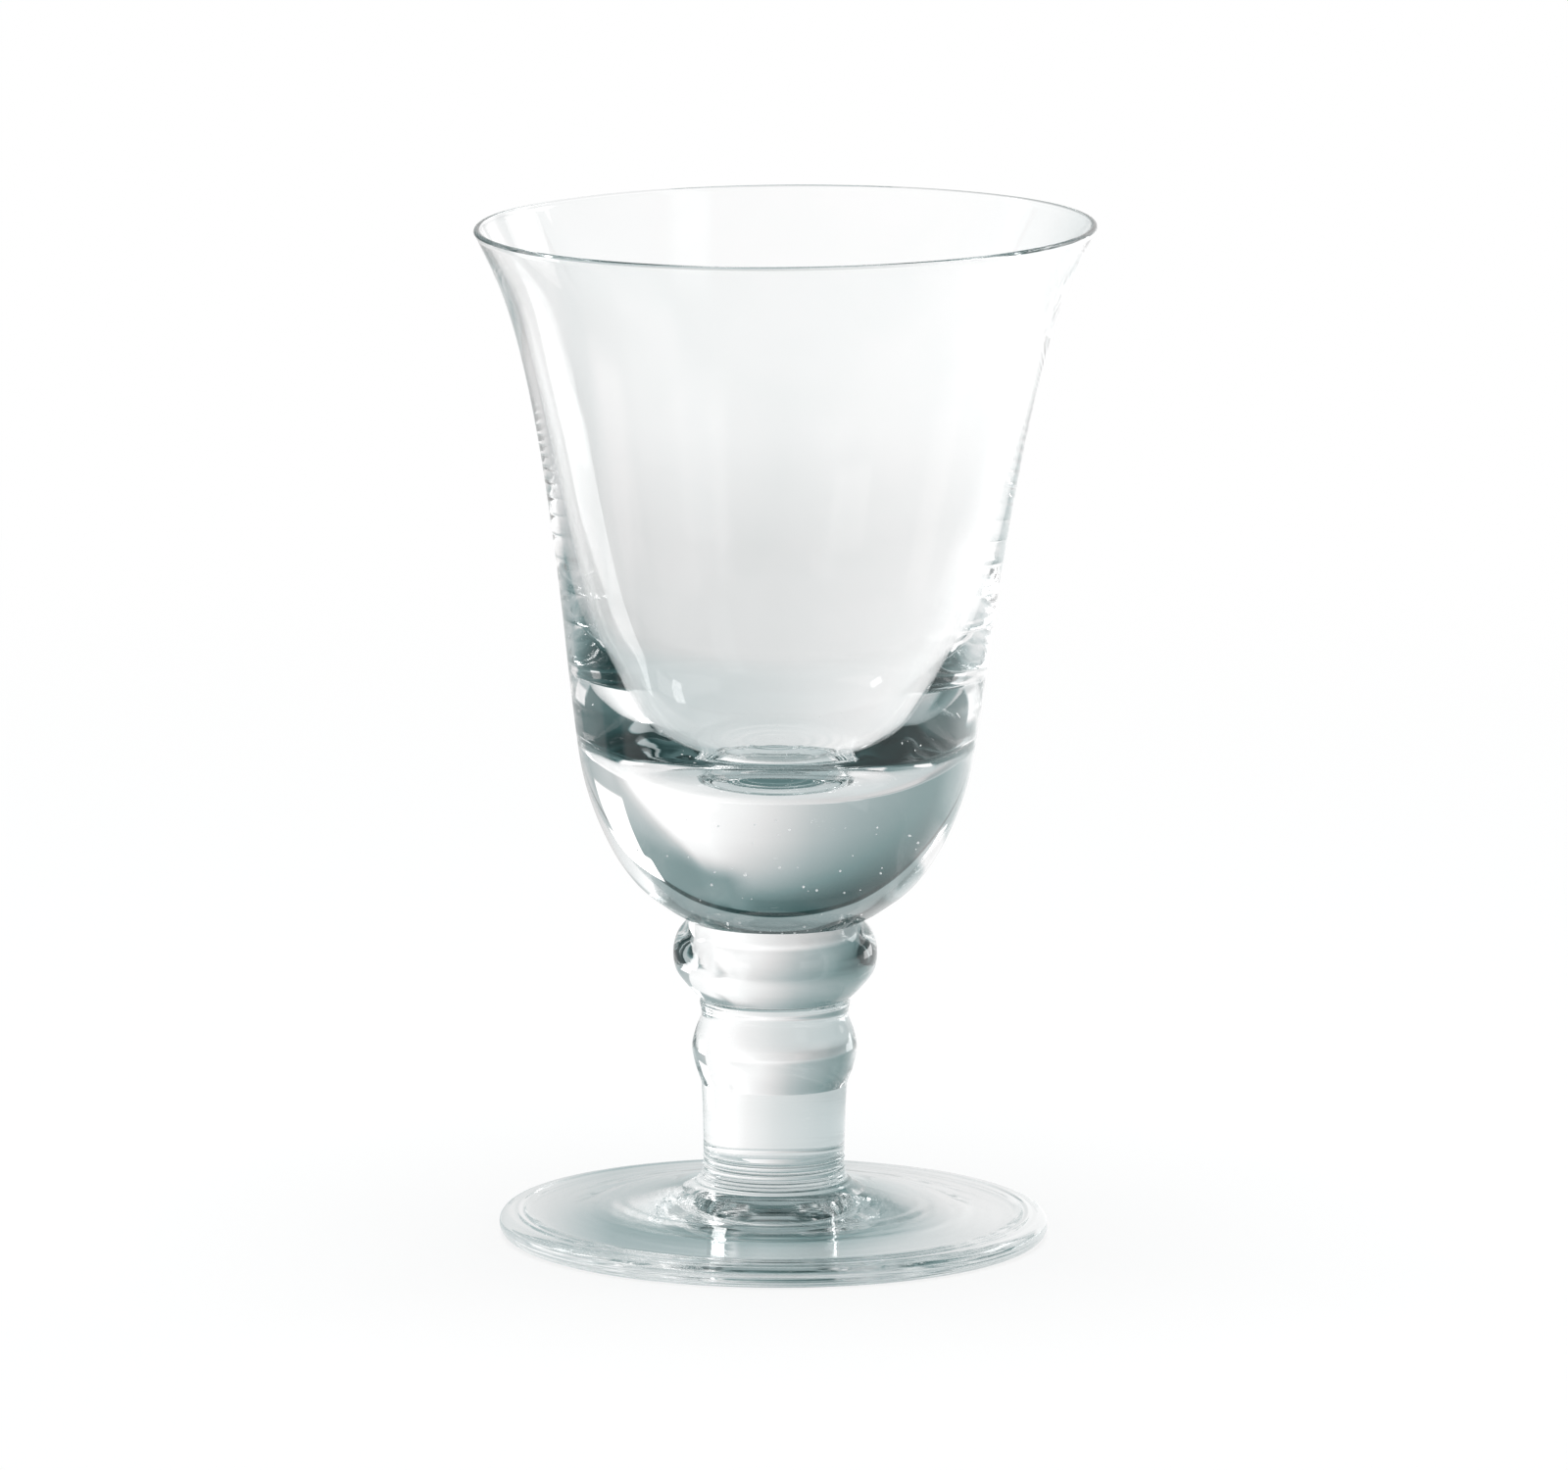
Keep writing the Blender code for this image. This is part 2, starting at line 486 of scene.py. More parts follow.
def turning_tree():
    """Node tree that turns a half outline about Z, with the waver and lean of hand work."""
    tree = new_tree("turned_gather", [
        ("Outline", "Geometry"), ("Turn Steps", "Int"), ("Waver", "Float"), ("Waver Size", "Float"),
        ("Lean", "Float"), ("Lean Shift", "Float"), ("Lean From", "Float"), ("Lean To", "Float"),
        ("Glass", "Material"), ("Fused Joint", "Material"),
    ])
    net = Net(tree)
    outline = net.node("NodeGroupInput")
    columns = outline.side("Turn Steps") + 1
    stations = net.node(
        "GeometryNodeAttributeDomainSize", {"component": "MESH"}, {0: outline}, "Point Count"
    )
    sheet = net.node(
        "GeometryNodeMeshGrid", None, {"Vertices X": stations, "Vertices Y": columns}, "Mesh"
    )
    index = net.node("GeometryNodeInputIndex")
    station = (index / columns).floor()
    angle = (index - station * columns) * math.tau / outline.side("Turn Steps")

    def at_station(kind, field):
        settings = {"data_type": kind, "domain": "POINT"}
        values = {"Geometry": outline, "Value": field, "Index": station}
        return net.node("GeometryNodeSampleIndex", settings, values)

    def mark(name):
        return net.node(
            "GeometryNodeInputNamedAttribute", {"data_type": "FLOAT"}, {"Name": name}, "Attribute"
        )

    place = at_station("FLOAT_VECTOR", net.node("GeometryNodeInputPosition"))
    parts = net.node("ShaderNodeSeparateXYZ", None, {0: place})
    radius, height = parts, parts.side("Z")
    across, along = angle.cosine(), angle.sine()
    swell = net.node(
        "ShaderNodeCombineXYZ", None, {0: radius * across, 1: radius * along, 2: height}
    )
    noise = net.node("ShaderNodeTexNoise", {"noise_dimensions": "4D"}, {
        "Vector": swell, "W": at_station("FLOAT", mark("inside")) * INSIDE_APART,
        "Scale": 1 / outline.side("Waver Size"), "Detail": 1.0,
    })
    radius = radius * (1 + (noise - 0.5) * 2 * outline.side("Waver"))
    lift = net.node("ShaderNodeMapRange", {"interpolation_type": "SMOOTHSTEP"}, {
        "Value": height, "From Min": outline.side("Lean From"), "From Max": outline.side("Lean To"),
    })
    turned = net.node("ShaderNodeCombineXYZ", None, {
        0: radius * across + lift * outline.side("Lean Shift"),
        1: radius * along,
        2: height + radius * across * lift * outline.side("Lean"),
    })
    shell = net.node("GeometryNodeStoreNamedAttribute", {"data_type": "FLOAT", "domain": "POINT"}, {
        "Geometry": sheet, "Name": "fused", "Value": at_station("FLOAT", mark("fused")),
    })
    shell = net.node("GeometryNodeSetPosition", None, {"Geometry": shell, "Position": turned})
    shell = net.node("GeometryNodeMergeByDistance", None, {0: shell, "Distance": MERGE_DISTANCE})
    shell = net.node("GeometryNodeSetShadeSmooth", {"domain": "FACE"}, {0: shell, 2: True})
    crease = net.node("GeometryNodeInputMeshEdgeAngle") > CREASE_ANGLE
    shell = net.node(
        "GeometryNodeSetShadeSmooth", {"domain": "EDGE"}, {0: shell, "Selection": crease, 2: False}
    )
    shell = net.node("GeometryNodeRealizeInstances", None, {0: shell})
    shell = net.node(
        "GeometryNodeSetMaterial", None, {0: shell, "Material": outline.side("Glass")}
    )
    shell = net.node("GeometryNodeSetMaterial", None, {
        0: shell, "Selection": mark("fused") > FUSED_MARK, "Material": outline.side("Fused Joint"),
    })
    shell = net.node("GeometryNodeRemoveAttribute", None, {0: shell, "Name": "fused"})
    net.node("NodeGroupOutput", None, {0: shell})
    return tree


def node_piece(name, mesh, tree, values):
    """Run a node tree on a mesh and keep the result as a plain mesh at the origin."""
    piece = bpy.data.objects.new(name, mesh)
    bpy.context.scene.collection.objects.link(piece)
    modifier = piece.modifiers.new(tree.name, "NODES")
    modifier.node_group = tree
    for socket in tree.interface.items_tree:
        if socket.name in values:
            modifier[socket.identifier] = values[socket.name]
    depsgraph = bpy.context.evaluated_depsgraph_get()
    made = bpy.data.meshes.new_from_object(piece.evaluated_get(depsgraph), depsgraph=depsgraph)
    if not made.polygons:
        raise RuntimeError(name + " came out empty")
    # The nodes leave an empty slot before the piece's own materials
    if made.materials[0] is None:
        made.materials.pop(index=0)
    piece.modifiers.clear()
    piece.data = made
    made.name = name
    bpy.data.meshes.remove(mesh)
    return piece


def turn_gather(context, name, node, outline, glass, top_fused, bottom_fused):
    """Turn one gather of glass from its outline, and let it stand for its solid."""
    sizes, work = context.scene.glass_sizes, context.scene.glass_hand_work
    inside, outside = outline(sizes, work)
    points = inside + outside
    if top_fused:
        points = [Vector((0.0, points[0].y)), *points]
    if bottom_fused:
        points = [*points, Vector((0.0, points[-1].y))]
    mesh = bpy.data.meshes.new(name + "_outline")
    edges = [(index, index + 1) for index in range(len(points) - 1)]
    mesh.from_pydata([(p.x * MILLIMETRE, 0.0, p.y * MILLIMETRE) for p in points], edges, [])
    within = mesh.attributes.new("inside", "FLOAT", "POINT")
    within.data.foreach_set("value", [float(i < len(inside)) for i in range(len(points))])
    fused = [0.0] * len(points)
    if top_fused:
        fused[:2] = [1.0, 1.0]
    if bottom_fused:
        fused[-2:] = [1.0, 1.0]
    mesh.attributes.new("fused", "FLOAT", "POINT").data.foreach_set("value", fused)
    tree = bpy.data.node_groups.get("turned_gather") or turning_tree()
    piece = node_piece(name, mesh, tree, {
        "Turn Steps": sizes.turn_steps,
        "Waver": work.waver,
        "Waver Size": work.waver_size,
        "Lean": math.tan(work.lean),
        "Lean Shift": work.lean_shift,
        "Lean From": sizes.cavity_floor,
        "Lean To": sizes.height,
        "Glass": glass,
        "Fused Joint": fused_joint(),
    })
    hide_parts(node)
    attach(piece, "root")
    return piece


def new_material(name):
    material = bpy.data.materials.new(name)
    material.use_nodes = True
    material.node_tree.nodes.clear()
    return material, Net(material.node_tree)


def fused_joint():
    """The face inside a fused joint, where glass meets glass and nothing shows."""
    material = bpy.data.materials.get("fused_joint")
    if material is None:
        material, net = new_material("fused_joint")
        clear = net.node("ShaderNodeBsdfTransparent", None, {"Color": WHITE})
        net.node("ShaderNodeOutputMaterial", None, {"Surface": clear})
    return material


def coordinates(net, kind="Object"):
    """X of a place or a direction. Its other sides are Y and Z."""
    place = net.node("ShaderNodeTexCoord", None, None, kind)
    return net.node("ShaderNodeSeparateXYZ", None, {0: place})


def reach_of(x, y):
    """Distance from the glass's axis."""
    return (x * x + y * y).root()


# Levels of a swirl's noise between which the melt turns greener, and its skin duller
GREEN_SWIRL = (0.35, 0.7)
DULL_SWIRL = (0.6, 0.8)
DULL_ROUGHNESS = 0.006

# Height of a turning line as a share of its length
LINE_SLIMNESS = 0.12

# Heights, and distances from the axis, over which the grinding under the foot ends
GROUND_TOP = (0.0031, 0.0036)
GROUND_REACH = (0.040, 0.044)


def clear_glass(finish, name, swirl_size, line_size, tooling, ground=0.0):
    """Clear, fire-polished glass: faint swirls in the melt and fine turning lines on its skin."""
    material, net = new_material(name)
    place = net.node("ShaderNodeTexCoord", None, None, "Object")
    swirl = net.node("ShaderNodeTexNoise", None, {
        "Vector": place, "Scale": 1 / swirl_size, "Detail": 2.0, "Distortion": 1.5,
    })
    tint = net.blend(swirl.rise(*GREEN_SWIRL), finish.pale, finish.deep)
    around = LINE_SLIMNESS / line_size
    stretched = net.node("ShaderNodeMapping", None, {
        "Vector": place, "Scale": (around, around, 1 / line_size),
    })
    lines = net.node("ShaderNodeTexNoise", None, {"Vector": stretched, "Scale": 1.0, "Detail": 2.0})
    skin = net.node("ShaderNodeBump", None, {
        "Strength": 1.0, "Distance": finish.ripple * tooling, "Height": lines,
    })
    roughness = swirl.rise(*DULL_SWIRL) * DULL_ROUGHNESS
    if ground:
        x = coordinates(net)
        reach = reach_of(x, x.side("Y"))
        under = (1 - x.side("Z").rise(*GROUND_TOP)) * (1 - reach.rise(*GROUND_REACH))
        roughness = roughness + under * ground
    glass = net.node("ShaderNodeBsdfPrincipled", None, {
        "Base Color": tint, "Roughness": roughness,
        "IOR": finish.refraction, "Transmission Weight": 1.0, "Normal": skin,
    })
    net.node("ShaderNodeOutputMaterial", None, {"Surface": glass})
    return material


class BlowBowl(bpy.types.Operator):
    """Blow the bowl, with its flared rim and its heavy solid base"""

    bl_idname = "glass.blow_bowl"
    bl_label = "Blow bowl"

    def execute(self, context):
        glass = clear_glass(
            context.scene.glass_finish, "blown_glass", swirl_size=0.03, line_size=0.004, tooling=1.0
        )
        turn_gather(
            context, "blown_bowl", "bowl", bowl_outline, glass,
            top_fused=False, bottom_fused=True,
        )
        return {"FINISHED"}


class TurnStem(bpy.types.Operator):
    """Turn the three gathers of the stem: upper knop, lower knop and shaft"""

    bl_idname = "glass.turn_stem"
    bl_label = "Turn stem"

    def execute(self, context):
        glass = clear_glass(
            context.scene.glass_finish, "stem_gather_glass",
            swirl_size=0.015, line_size=0.0016, tooling=3.0,
        )
        gathers = [
            ("upper_knop_gather", "upper_knop", upper_knop_outline),
            ("lower_knop_gather", "lower_knop", lower_knop_outline),
            ("shaft_gather", "stem_shaft", shaft_outline),
        ]
        for name, node, outline in gathers:
            turn_gather(
                context, name, node, outline, glass, top_fused=True, bottom_fused=True
            )
        return {"FINISHED"}


class SpreadFoot(bpy.types.Operator):
    """Spread the foot from its own gather"""

    bl_idname = "glass.spread_foot"
    bl_label = "Spread foot"

    def execute(self, context):
        glass = clear_glass(
            context.scene.glass_finish, "foot_gather_glass",
            swirl_size=0.02, line_size=0.003, tooling=1.0, ground=0.05,
        )
        turn_gather(
            context, "spread_foot", "foot", foot_outline, glass,
            top_fused=True, bottom_fused=False,
        )
        return {"FINISHED"}


# Heights between which the seeds hang, and how far from the axis at the lowest and the highest
SEED_HEIGHTS = (0.0585, 0.0785)
SEED_REACHES = (0.011, 0.029)
SMALLEST_SEED = 0.35


def seed_air_painted_glow():
    """Air inside a seed bubble, bounded by the glass around it, with a painted glow: the bubble
    gives off white light of its own, in place of the light that it catches.
    """
    material, net = new_material("seed_air_painted_glow")
    place = net.node("ShaderNodeTexCoord", None, None, "Object")
    grain = net.node("ShaderNodeTexNoise", None, {"Vector": place, "Scale": 4000.0})
    # Painted glow: the white emission lights the bubble up though it is no lamp
    air = net.node("ShaderNodeBsdfPrincipled", None, {
        "Base Color": net.blend(grain, (0.97, 0.99, 0.99), (1.0, 1.0, 1.0)),
        "Roughness": 0.3, "Emission Color": WHITE, "Emission Strength": 0.5,
    })
    net.node("ShaderNodeOutputMaterial", None, {"Surface": air})
    return material


def seed_tree():
    """Node tree that hangs small bubbles at random in the cup of the solid base."""
    tree = new_tree("seed_bubbles", [
        ("Ground", "Geometry"), ("Count", "Int"), ("Diameter", "Float"), ("Lowest", "Float"),
        ("Highest", "Float"), ("Narrowest", "Float"), ("Widest", "Float"), ("Air", "Material"),
    ])
    net = Net(tree)
    given = net.node("NodeGroupInput")

    def chance(seed):
        settings = {"data_type": "FLOAT"}
        return net.node("FunctionNodeRandomValue", settings, {"Seed": seed}, "Value")

    angle = chance(3) * math.tau
    share = chance(8)
    low, high = given.side("Lowest"), given.side("Highest")
    near, wide = given.side("Narrowest"), given.side("Widest")
    reach = (near + (wide - near) * share) * chance(21).root()
    place = net.node("ShaderNodeCombineXYZ", None, {
        0: reach * angle.cosine(), 1: reach * angle.sine(), 2: low + (high - low) * share,
    })
    points = net.node("GeometryNodePoints", None, {"Count": given.side("Count"), "Position": place})
    bubble = net.node("GeometryNodeMeshIcoSphere", None, {
        "Radius": given.side("Diameter") / 2, "Subdivisions": 2,
    })
    size = SMALLEST_SEED + (1 - SMALLEST_SEED) * chance(34) ** 2
    hung = net.node("GeometryNodeInstanceOnPoints", None, {
        "Points": points, "Instance": bubble, "Scale": size,
    })
    hung = net.node("GeometryNodeRealizeInstances", None, {0: hung})
    hung = net.node("GeometryNodeSetShadeSmooth", None, {0: hung, 2: True})
    hung = net.node("GeometryNodeSetMaterial", None, {0: hung, "Material": given.side("Air")})
    net.node("NodeGroupOutput", None, {0: hung})
    return tree


class ScatterSeeds(bpy.types.Operator):
    """Scatter the seed bubbles that hang in the solid base"""

    bl_idname = "glass.scatter_seeds"
    bl_label = "Scatter seeds"

    def execute(self, context):
        work = context.scene.glass_hand_work
        ground = bpy.data.meshes.new("seed_ground")
        piece = node_piece("seed_bubbles", ground, seed_tree(), {
            "Count": work.seeds,
            "Diameter": work.seed_diameter,
            "Lowest": SEED_HEIGHTS[0],
            "Highest": SEED_HEIGHTS[1],
            "Narrowest": SEED_REACHES[0],
            "Widest": SEED_REACHES[1],
            "Air": seed_air_painted_glow(),
        })
        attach(piece, "root")
        return {"FINISHED"}


# Brightness of the wall by its turn about the glass in degrees: 0 is straight behind the glass, and
# right is positive. The wall glows behind the glass to the right, and the window stands there.
WALL_LEVELS = [
    (-180, 0.06), (-140, 0.09), (-112, 0.12), (-92, 0.24), (-80, 0.46), (-68, 0.46), (-58, 0.30),
    (-45, 0.22), (-33, 0.27), (-25, 0.33), (-16, 0.41), (-8, 0.52), (0, 0.71), (9, 0.92),
    (16, 1.12), (26, 1.18), (31, 0.70), (36, 0.54), (45, 0.50), (64, 0.40), (70, 0.56),
    (100, 0.66), (128, 0.60), (138, 0.22), (155, 0.09), (180, 0.06),
]

# What is left of the wall's brightness higher up, by the angle above the horizon
WALL_FALL = [
    (0, 1.10), (6, 1.10), (12, 1.0), (17, 0.82), (21, 0.64), (23, 0.55), (27, 0.36), (31, 0.22),
    (90, 0.2),
]

# The glow leans: degrees of turn for each degree of height, the height at which it isn't shifted,
# how far below and above that the lean goes on, and the turns between which it sets in
GLOW_LEAN = 1.4
GLOW_HEIGHT = 12.0
GLOW_DROP, GLOW_CLIMB = -10.0, 12.0
GLOW_SIDE = (5.0, 25.0)

# Angles about the horizon over which the table passes into the wall
HORIZON = (-4.0, 1.0)

# Brightness of the table by its turn about the glass
TABLE_LEVELS = [
    (-180, 0.30), (-150, 0.50), (-120, 0.30), (-100, 0.25), (-80, 0.30), (-60, 0.44), (-33, 0.47),
    (-18, 0.64), (-8, 0.90), (-3.5, 0.98), (0, 1.06), (3.5, 1.14), (8, 1.24), (20, 1.50),
    (50, 1.55), (75, 1.05), (100, 0.86), (130, 0.78), (155, 0.56), (180, 0.30),
]

# Painted shadow on the table behind the glass: what is left of the table's brightness, by the
# distance from its axis in metres
TABLE_SHADE = [(0.0, 0.76), (0.5, 0.80), (0.66, 0.88), (0.79, 0.95), (0.95, 0.99), (1.1, 1.0)]

# Painted shade on the paper under the foot, seen only through the glass: its brightness from left
# to right in millimetres
UNDER_FOOT_PAINTED_SHADE = [
    (-50, 1.0), (-40, 0.82), (-35, 0.66), (-28, 0.48), (-18, 0.53), (-3, 0.64), (10, 0.62),
    (20, 0.76), (31, 0.84), (50, 0.86),
]

# What is left of it under the stem, and the distances from the axis over which that shade ends
STEM_SHADE = 0.25
STEM_SHADE_ENDS = (0.010, 0.036)

# Painted light and shade on the paper around the foot, seen only through the glass: its brightness
# by its turn about the glass
NEAR_FOOT_PAINTED_LIGHT = [
    (-180, 0.45), (-100, 0.58), (-51, 0.60), (-35, 0.59), (-25, 0.62), (-17, 0.66), (-12, 0.69),
    (-7, 0.72), (-4, 0.74), (0, 0.78), (4, 0.84), (8, 0.89), (13, 0.95), (19, 1.06), (27, 1.15),
    (90, 1.1), (130, 0.62), (180, 0.45),
]

# Distances from the axis over which the paper under the foot passes into the paper around it, and
# that into the table. The paper's brightness is held as a share of PAPER_GLOW.
UNDER_FOOT_PAINTED_SHADE_ENDS = (0.044, 0.056)
NEAR_FOOT_PAINTED_LIGHT_ENDS = (0.15, 0.25)
PAPER_GLOW = 1.2

# Turns behind the glass between which TABLE_SHADE holds, and how soft their ends are
BEHIND_GLASS = (-45.0, 45.0, 12.0)

# Table top: half its width, its paper, the share of the lamp's shadow that the camera sees, and the
# distances from the axis over which that shadow ends
TABLE_HALF = 3.0
PAPER = (0.9, 0.9, 0.9, 1.0)
SHADOW_SHARE = 0.14
SHADOW_ENDS = (0.2, 0.8)

# White card behind the glass at the right: where its white starts, is full and ends, how far behind
# the axis it stands, its height, the softness of its edges and its brightness
CARD_LEFT, CARD_WHITE, CARD_RIGHT = 0.040, 0.058, 0.112
CARD_BEHIND = 0.12
CARD_HEIGHT = 0.088
CARD_SOFT = 0.003
CARD_GLOW = 1.1

# Lamp overhead
LAMP_SIZE = 1.2
LAMP_HEIGHT = 1.6

# Panels hung in the studio: left, right, bottom, top and softness of the edge in degrees, then
# brightness
PANELS = [
    (-78, -62, -26, -11, 3.0, 0.14),
    (-98, -80, -32, 5, 3.0, 0.85),
    (-62, -30, -38, -17, 4.0, 0.75),
    (-32, -9, -26, -10, 3.0, 0.85),
    (128, 145, 22, 56, 3.0, 0.5),
    (9, 40, 20, 36, 4.0, 0.28),
    (30, 60, -8, 1.5, 0.8, 4.0),
    (98, 128, -4, 16, 2.0, 0.85),
    (126, 152, -6, 10, 2.0, 1.15),
    (-152, -132, -6, 4, 1.0, 1.0),
    (154, 190, -13, 3, 2.0, 0.12),
    (-190, -154, -13, 3, 2.0, 0.12),
]

# The wall ends in a dark edge under the ceiling. Each is placed by its angle up and over from
# straight ahead: start, end, softness of the edge and brightness. CEILING_TURN is their width.
CEILING = (43.0, 95.0, 0.6, 0.37)
WALL_EDGE = (38.8, 42.8, 0.6, 0.03)
CEILING_TURN = (-75.0, 75.0, 6.0)

# The window at the right and the strip of light at the left, in front of wall and ceiling
WINDOWS = [
    (42.5, 62, 10, 33, 0.6, 1.5),
    (39.5, 68, 25.5, 33.5, 0.8, 5.0),
    (-73, -64, 25, 34, 0.8, 6.0),
]

# Brightness is held in a ramp as a share of this
BRIGHTEST = 2.0

# Colour of each brightness: dark parts of the studio are a little green
TONES = [
    (0.0, (0.0, 0.0, 0.0)),
    (0.05, (0.025, 0.062, 0.063)),
    (0.12, (0.076, 0.141, 0.143)),
    (0.25, (0.184, 0.281, 0.285)),
    (0.45, (0.4, 0.471, 0.479)),
    (0.65, (0.634, 0.657, 0.659)),
    (0.8, (0.8, 0.8, 0.8)),
    (1.0, (1.0, 1.0, 1.0)),
]


def turn_of(x, y):
    """Angle about the glass in degrees, with 0 straight behind it and right positive."""
    return x.math("ARCTAN2", x, y) * DEGREES


def place_camera(scene, studio):
    camera = bpy.data.cameras.new("camera")
    camera.lens = studio.lens
    camera.sensor_width = 36.0
    camera.sensor_fit = "HORIZONTAL"
    camera.clip_end = 100.0
    stand = bpy.data.objects.new("camera", camera)
    scene.collection.objects.link(stand)
    stand.location = studio.camera_place
    dip = Euler((math.pi / 2 - studio.camera_dip, 0.0, 0.0)).to_matrix()
    roll = Matrix.Rotation(studio.camera_roll, 3, "Z")
    stand.rotation_euler = (dip @ roll).to_euler()
    scene.camera = stand


def level_at(net, place, levels):
    """Brightness at a place, from (place, brightness) stops."""
    first, last = levels[0][0], levels[-1][0]
    stops = [((at - first) / (last - first), (level / BRIGHTEST,) * 3) for at, level in levels]
    return net.ramp((place - first) / (last - first), stops) * BRIGHTEST


def stage_sheet(scene, name, corners, material):
    """A flat sheet that belongs to the stage."""
    mesh = bpy.data.meshes.new(name)
    mesh.from_pydata(corners, [], [(0, 1, 2, 3)])
    mesh.materials.append(material)
    sheet = bpy.data.objects.new(name, mesh)
    scene.collection.objects.link(sheet)
    return sheet


def lay_table(scene):
    """A plain white table top with the soft shadow of the glass."""
    half = TABLE_HALF
    corners = [(-half, -half, 0.0), (half, -half, 0.0), (half, half, 0.0), (-half, half, 0.0)]
    stage_sheet(scene, "table", corners, table_paper())


def table_paper():
    """White to the camera, with a soft shadow. The glass shows it in the studio's greys, with
    painted shade under the foot and the stem, painted light and shade around the foot, and a
    painted shadow behind the glass.
    """
    material, net = new_material("table_paper")
    x = coordinates(net)
    y = x.side("Y")
    reach, turn = reach_of(x, y), turn_of(x, y)

    def mixed(share, first, second):
        return net.node("ShaderNodeMixShader", None, {0: share, 1: first, 2: second})

    paper = net.node("ShaderNodeBsdfDiffuse", None, {"Color": PAPER})
    white = net.node("ShaderNodeEmission", None, {"Color": WHITE})
    top = mixed(SHADOW_SHARE * (1 - reach.rise(*SHADOW_ENDS)), white, paper)

    # Painted shade under the foot, darker still under the stem, passing into painted light and
    # shade around the foot, all glowing at these levels
    stem_shade = STEM_SHADE + (1 - STEM_SHADE) * reach.rise(*STEM_SHADE_ENDS)
    under = level_at(net, x / MILLIMETRE, UNDER_FOOT_PAINTED_SHADE) * stem_shade
    near = under.toward(level_at(net, turn, NEAR_FOOT_PAINTED_LIGHT), reach.rise(*UNDER_FOOT_PAINTED_SHADE_ENDS))
    near = net.node("ShaderNodeEmission", None, {
        "Color": net.ramp(near / PAPER_GLOW, TONES), "Strength": PAPER_GLOW,
    })
    # Painted shadow behind the glass: the clear table is mixed toward black by TABLE_SHADE
    dark = net.node("ShaderNodeEmission", None, {"Color": BLACK})
    clear = net.node("ShaderNodeBsdfTransparent", None, {"Color": WHITE})
    shade = turn.between(*BEHIND_GLASS) * (1 - level_at(net, reach, TABLE_SHADE))
    through = mixed(reach.rise(*NEAR_FOOT_PAINTED_LIGHT_ENDS), near, mixed(shade, clear, dark))

    path = net.node("ShaderNodeLightPath", None, None, "Is Camera Ray")
    bent = path.side("Is Glossy Ray").most(path.side("Is Transmission Ray"))
    seen = mixed(path, mixed(bent, paper, through), top)
    net.node("ShaderNodeOutputMaterial", None, {"Surface": seen})
    return material


def stand_card(scene):
    """A low white card with soft edges, which only the glass shows."""
    right, top = CARD_RIGHT + CARD_SOFT, CARD_HEIGHT + CARD_SOFT
    card = stage_sheet(scene, "white_card", [
        (CARD_LEFT, CARD_BEHIND, 0.0), (right, CARD_BEHIND, 0.0),
        (right, CARD_BEHIND, top), (CARD_LEFT, CARD_BEHIND, top),
    ], card_white())
    card.visible_camera = False
    card.visible_diffuse = False
    card.visible_shadow = False


def card_white():
    """Glowing white that fades out at the card's edges."""
    material, net = new_material("white_card")
    x = coordinates(net)
    share = x.rise(CARD_LEFT, CARD_WHITE)
    share = share * (1 - x.rise(CARD_RIGHT - CARD_SOFT, CARD_RIGHT + CARD_SOFT))
    share = share * (1 - x.side("Z").rise(CARD_HEIGHT - CARD_SOFT, CARD_HEIGHT + CARD_SOFT))
    white = net.node("ShaderNodeEmission", None, {"Color": WHITE, "Strength": CARD_GLOW})
    clear = net.node("ShaderNodeBsdfTransparent", None, {"Color": WHITE})
    seen = net.node("ShaderNodeMixShader", None, {0: share, 1: clear, 2: white})
    net.node("ShaderNodeOutputMaterial", None, {"Surface": seen})
    return material


def surround(scene):
    """A white background to the camera, and the soft grey studio that the glass bends into view."""
    world = bpy.data.worlds.new("studio")
    scene.world = world
    world.use_nodes = True
    world.node_tree.nodes.clear()
    net = Net(world.node_tree)
    x = coordinates(net, "Generated")
    y, z = x.side("Y"), x.side("Z")
    turn = turn_of(x, y)
    lift = x.math("ARCSINE", z) * DEGREES

    def panel(level, left, right, bottom, top, soft, brightness):
        """Hang a soft-edged panel in front of the studio."""
        share = turn.between(left, right, soft) * lift.between(bottom, top, soft)
        return level.toward(brightness, share)

    lean = ((lift - GLOW_HEIGHT).most(GLOW_DROP) * turn.rise(*GLOW_SIDE)).least(GLOW_CLIMB)
    wall = level_at(net, turn + GLOW_LEAN * lean, WALL_LEVELS)
    wall = wall * level_at(net, lift.most(0.0), WALL_FALL)
    level = level_at(net, turn, TABLE_LEVELS).toward(wall, lift.rise(*HORIZON))
    for place in PANELS:
        level = panel(level, *place)
    over = x.math("ARCTAN2", z, y) * DEGREES
    ahead = turn.between(*CEILING_TURN)
    for start, end, soft, brightness in (CEILING, WALL_EDGE):
        level = level.toward(brightness, ahead * over.between(start, end, soft))
    for place in WINDOWS:
        level = panel(level, *place)
    room = net.node("ShaderNodeBackground", None, {
        "Color": net.ramp(level, TONES), "Strength": level.most(1.0),
    })
    white = net.node("ShaderNodeBackground", None, {"Color": WHITE})
    path = net.node("ShaderNodeLightPath", None, None, "Is Camera Ray")
    sky = net.node("ShaderNodeMixShader", None, {0: path, 1: room, 2: white})
    net.node("ShaderNodeOutputWorld", None, {"Surface": sky})


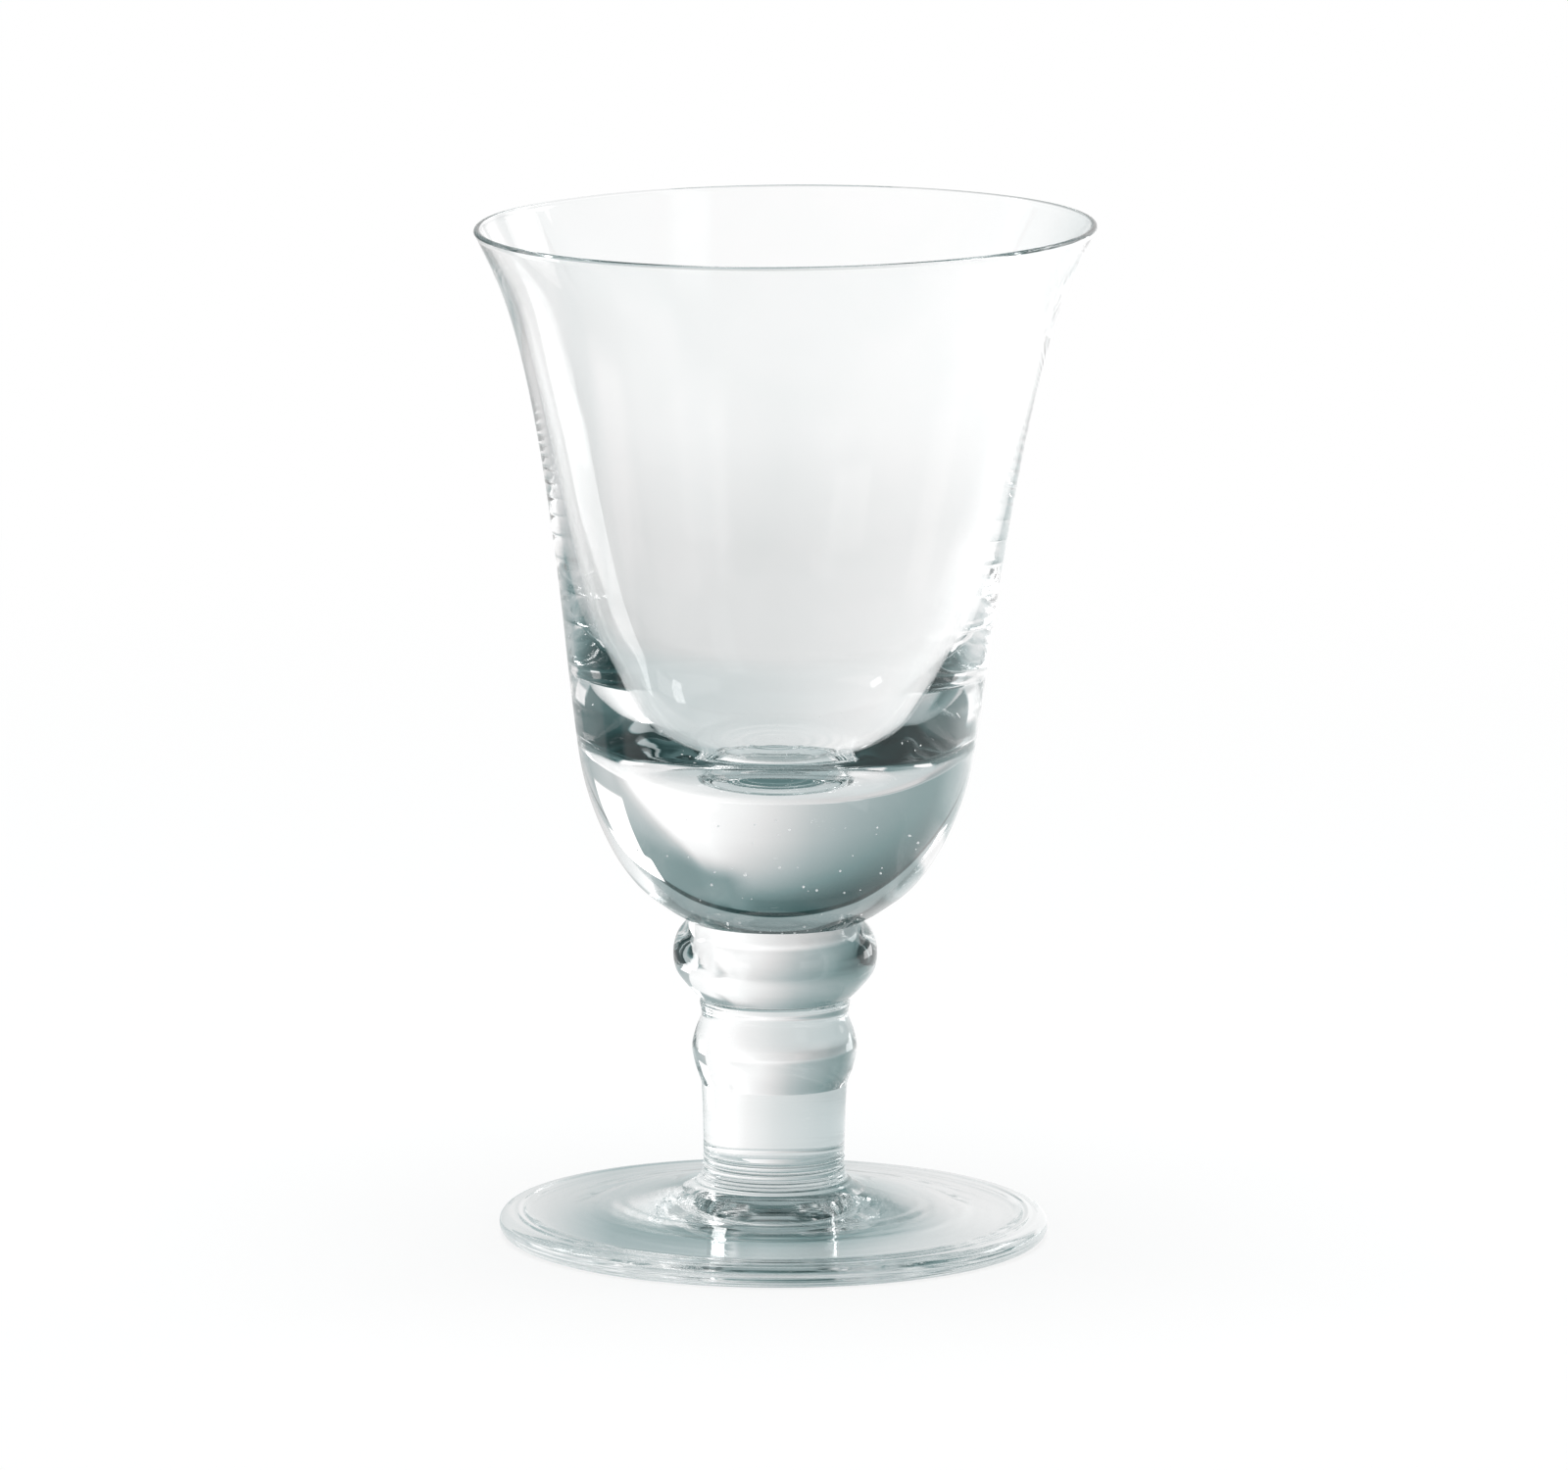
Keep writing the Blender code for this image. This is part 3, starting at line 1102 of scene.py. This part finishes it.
def hang_lamp(scene, studio):
    """A soft lamp overhead, which gives the table its shadow."""
    lamp = bpy.data.lights.new("overhead", "AREA")
    lamp.shape = "DISK"
    lamp.size = LAMP_SIZE
    lamp.energy = studio.lamp
    hanger = bpy.data.objects.new("overhead", lamp)
    scene.collection.objects.link(hanger)
    hanger.location = (0.0, 0.0, LAMP_HEIGHT)
    hanger.visible_camera = False
    hanger.visible_glossy = False
    hanger.visible_transmission = False


LIGHT_BOUNCES = {
    "max_bounces": 128,
    "transmission_bounces": 128,
    "glossy_bounces": 128,
    "transparent_max_bounces": 32,
}


class SetStage(bpy.types.Operator):
    """Set up the camera, the pale table and the soft light of the studio"""

    bl_idname = "glass.set_stage"
    bl_label = "Set stage"

    def execute(self, context):
        scene = context.scene
        studio = scene.glass_studio
        scene.view_settings.view_transform = "Standard"
        place_camera(scene, studio)
        lay_table(scene)
        stand_card(scene)
        surround(scene)
        hang_lamp(scene, studio)
        for name, bounces in LIGHT_BOUNCES.items():
            setattr(scene.cycles, name, bounces)
        return {"FINISHED"}


class GlassPanel(bpy.types.Panel):
    """Steps for making the glass, in order"""

    bl_idname = "VIEW3D_PT_iced_tea_glass"
    bl_label = "Iced tea glass"
    bl_space_type = "VIEW_3D"
    bl_region_type = "UI"
    bl_category = "Glass"

    def draw(self, context):
        for step in STEPS:
            self.layout.operator(step.bl_idname)
        for name in SETTINGS:
            group = getattr(context.scene, name)
            box = self.layout.box()
            for key in group.__annotations__:
                box.prop(group, key)


SETTINGS = {
    "glass_sizes": GlassSizes,
    "glass_hand_work": HandWork,
    "glass_finish": GlassFinish,
    "glass_studio": Studio,
}
STEPS = [SetStage, BlowBowl, TurnStem, SpreadFoot, ScatterSeeds]
CLASSES = [*SETTINGS.values(), *STEPS, GlassPanel]


def register():
    for kind in CLASSES:
        bpy.utils.register_class(kind)
    for name, kind in SETTINGS.items():
        setattr(bpy.types.Scene, name, PointerProperty(type=kind))


def unregister():
    for name in SETTINGS:
        delattr(bpy.types.Scene, name)
    for kind in reversed(CLASSES):
        bpy.utils.unregister_class(kind)


def main():
    register()
    bpy.ops.glass.set_stage()
    bpy.ops.glass.blow_bowl()
    bpy.ops.glass.turn_stem()
    bpy.ops.glass.spread_foot()
    bpy.ops.glass.scatter_seeds()


if __name__ == "__main__":
    main()
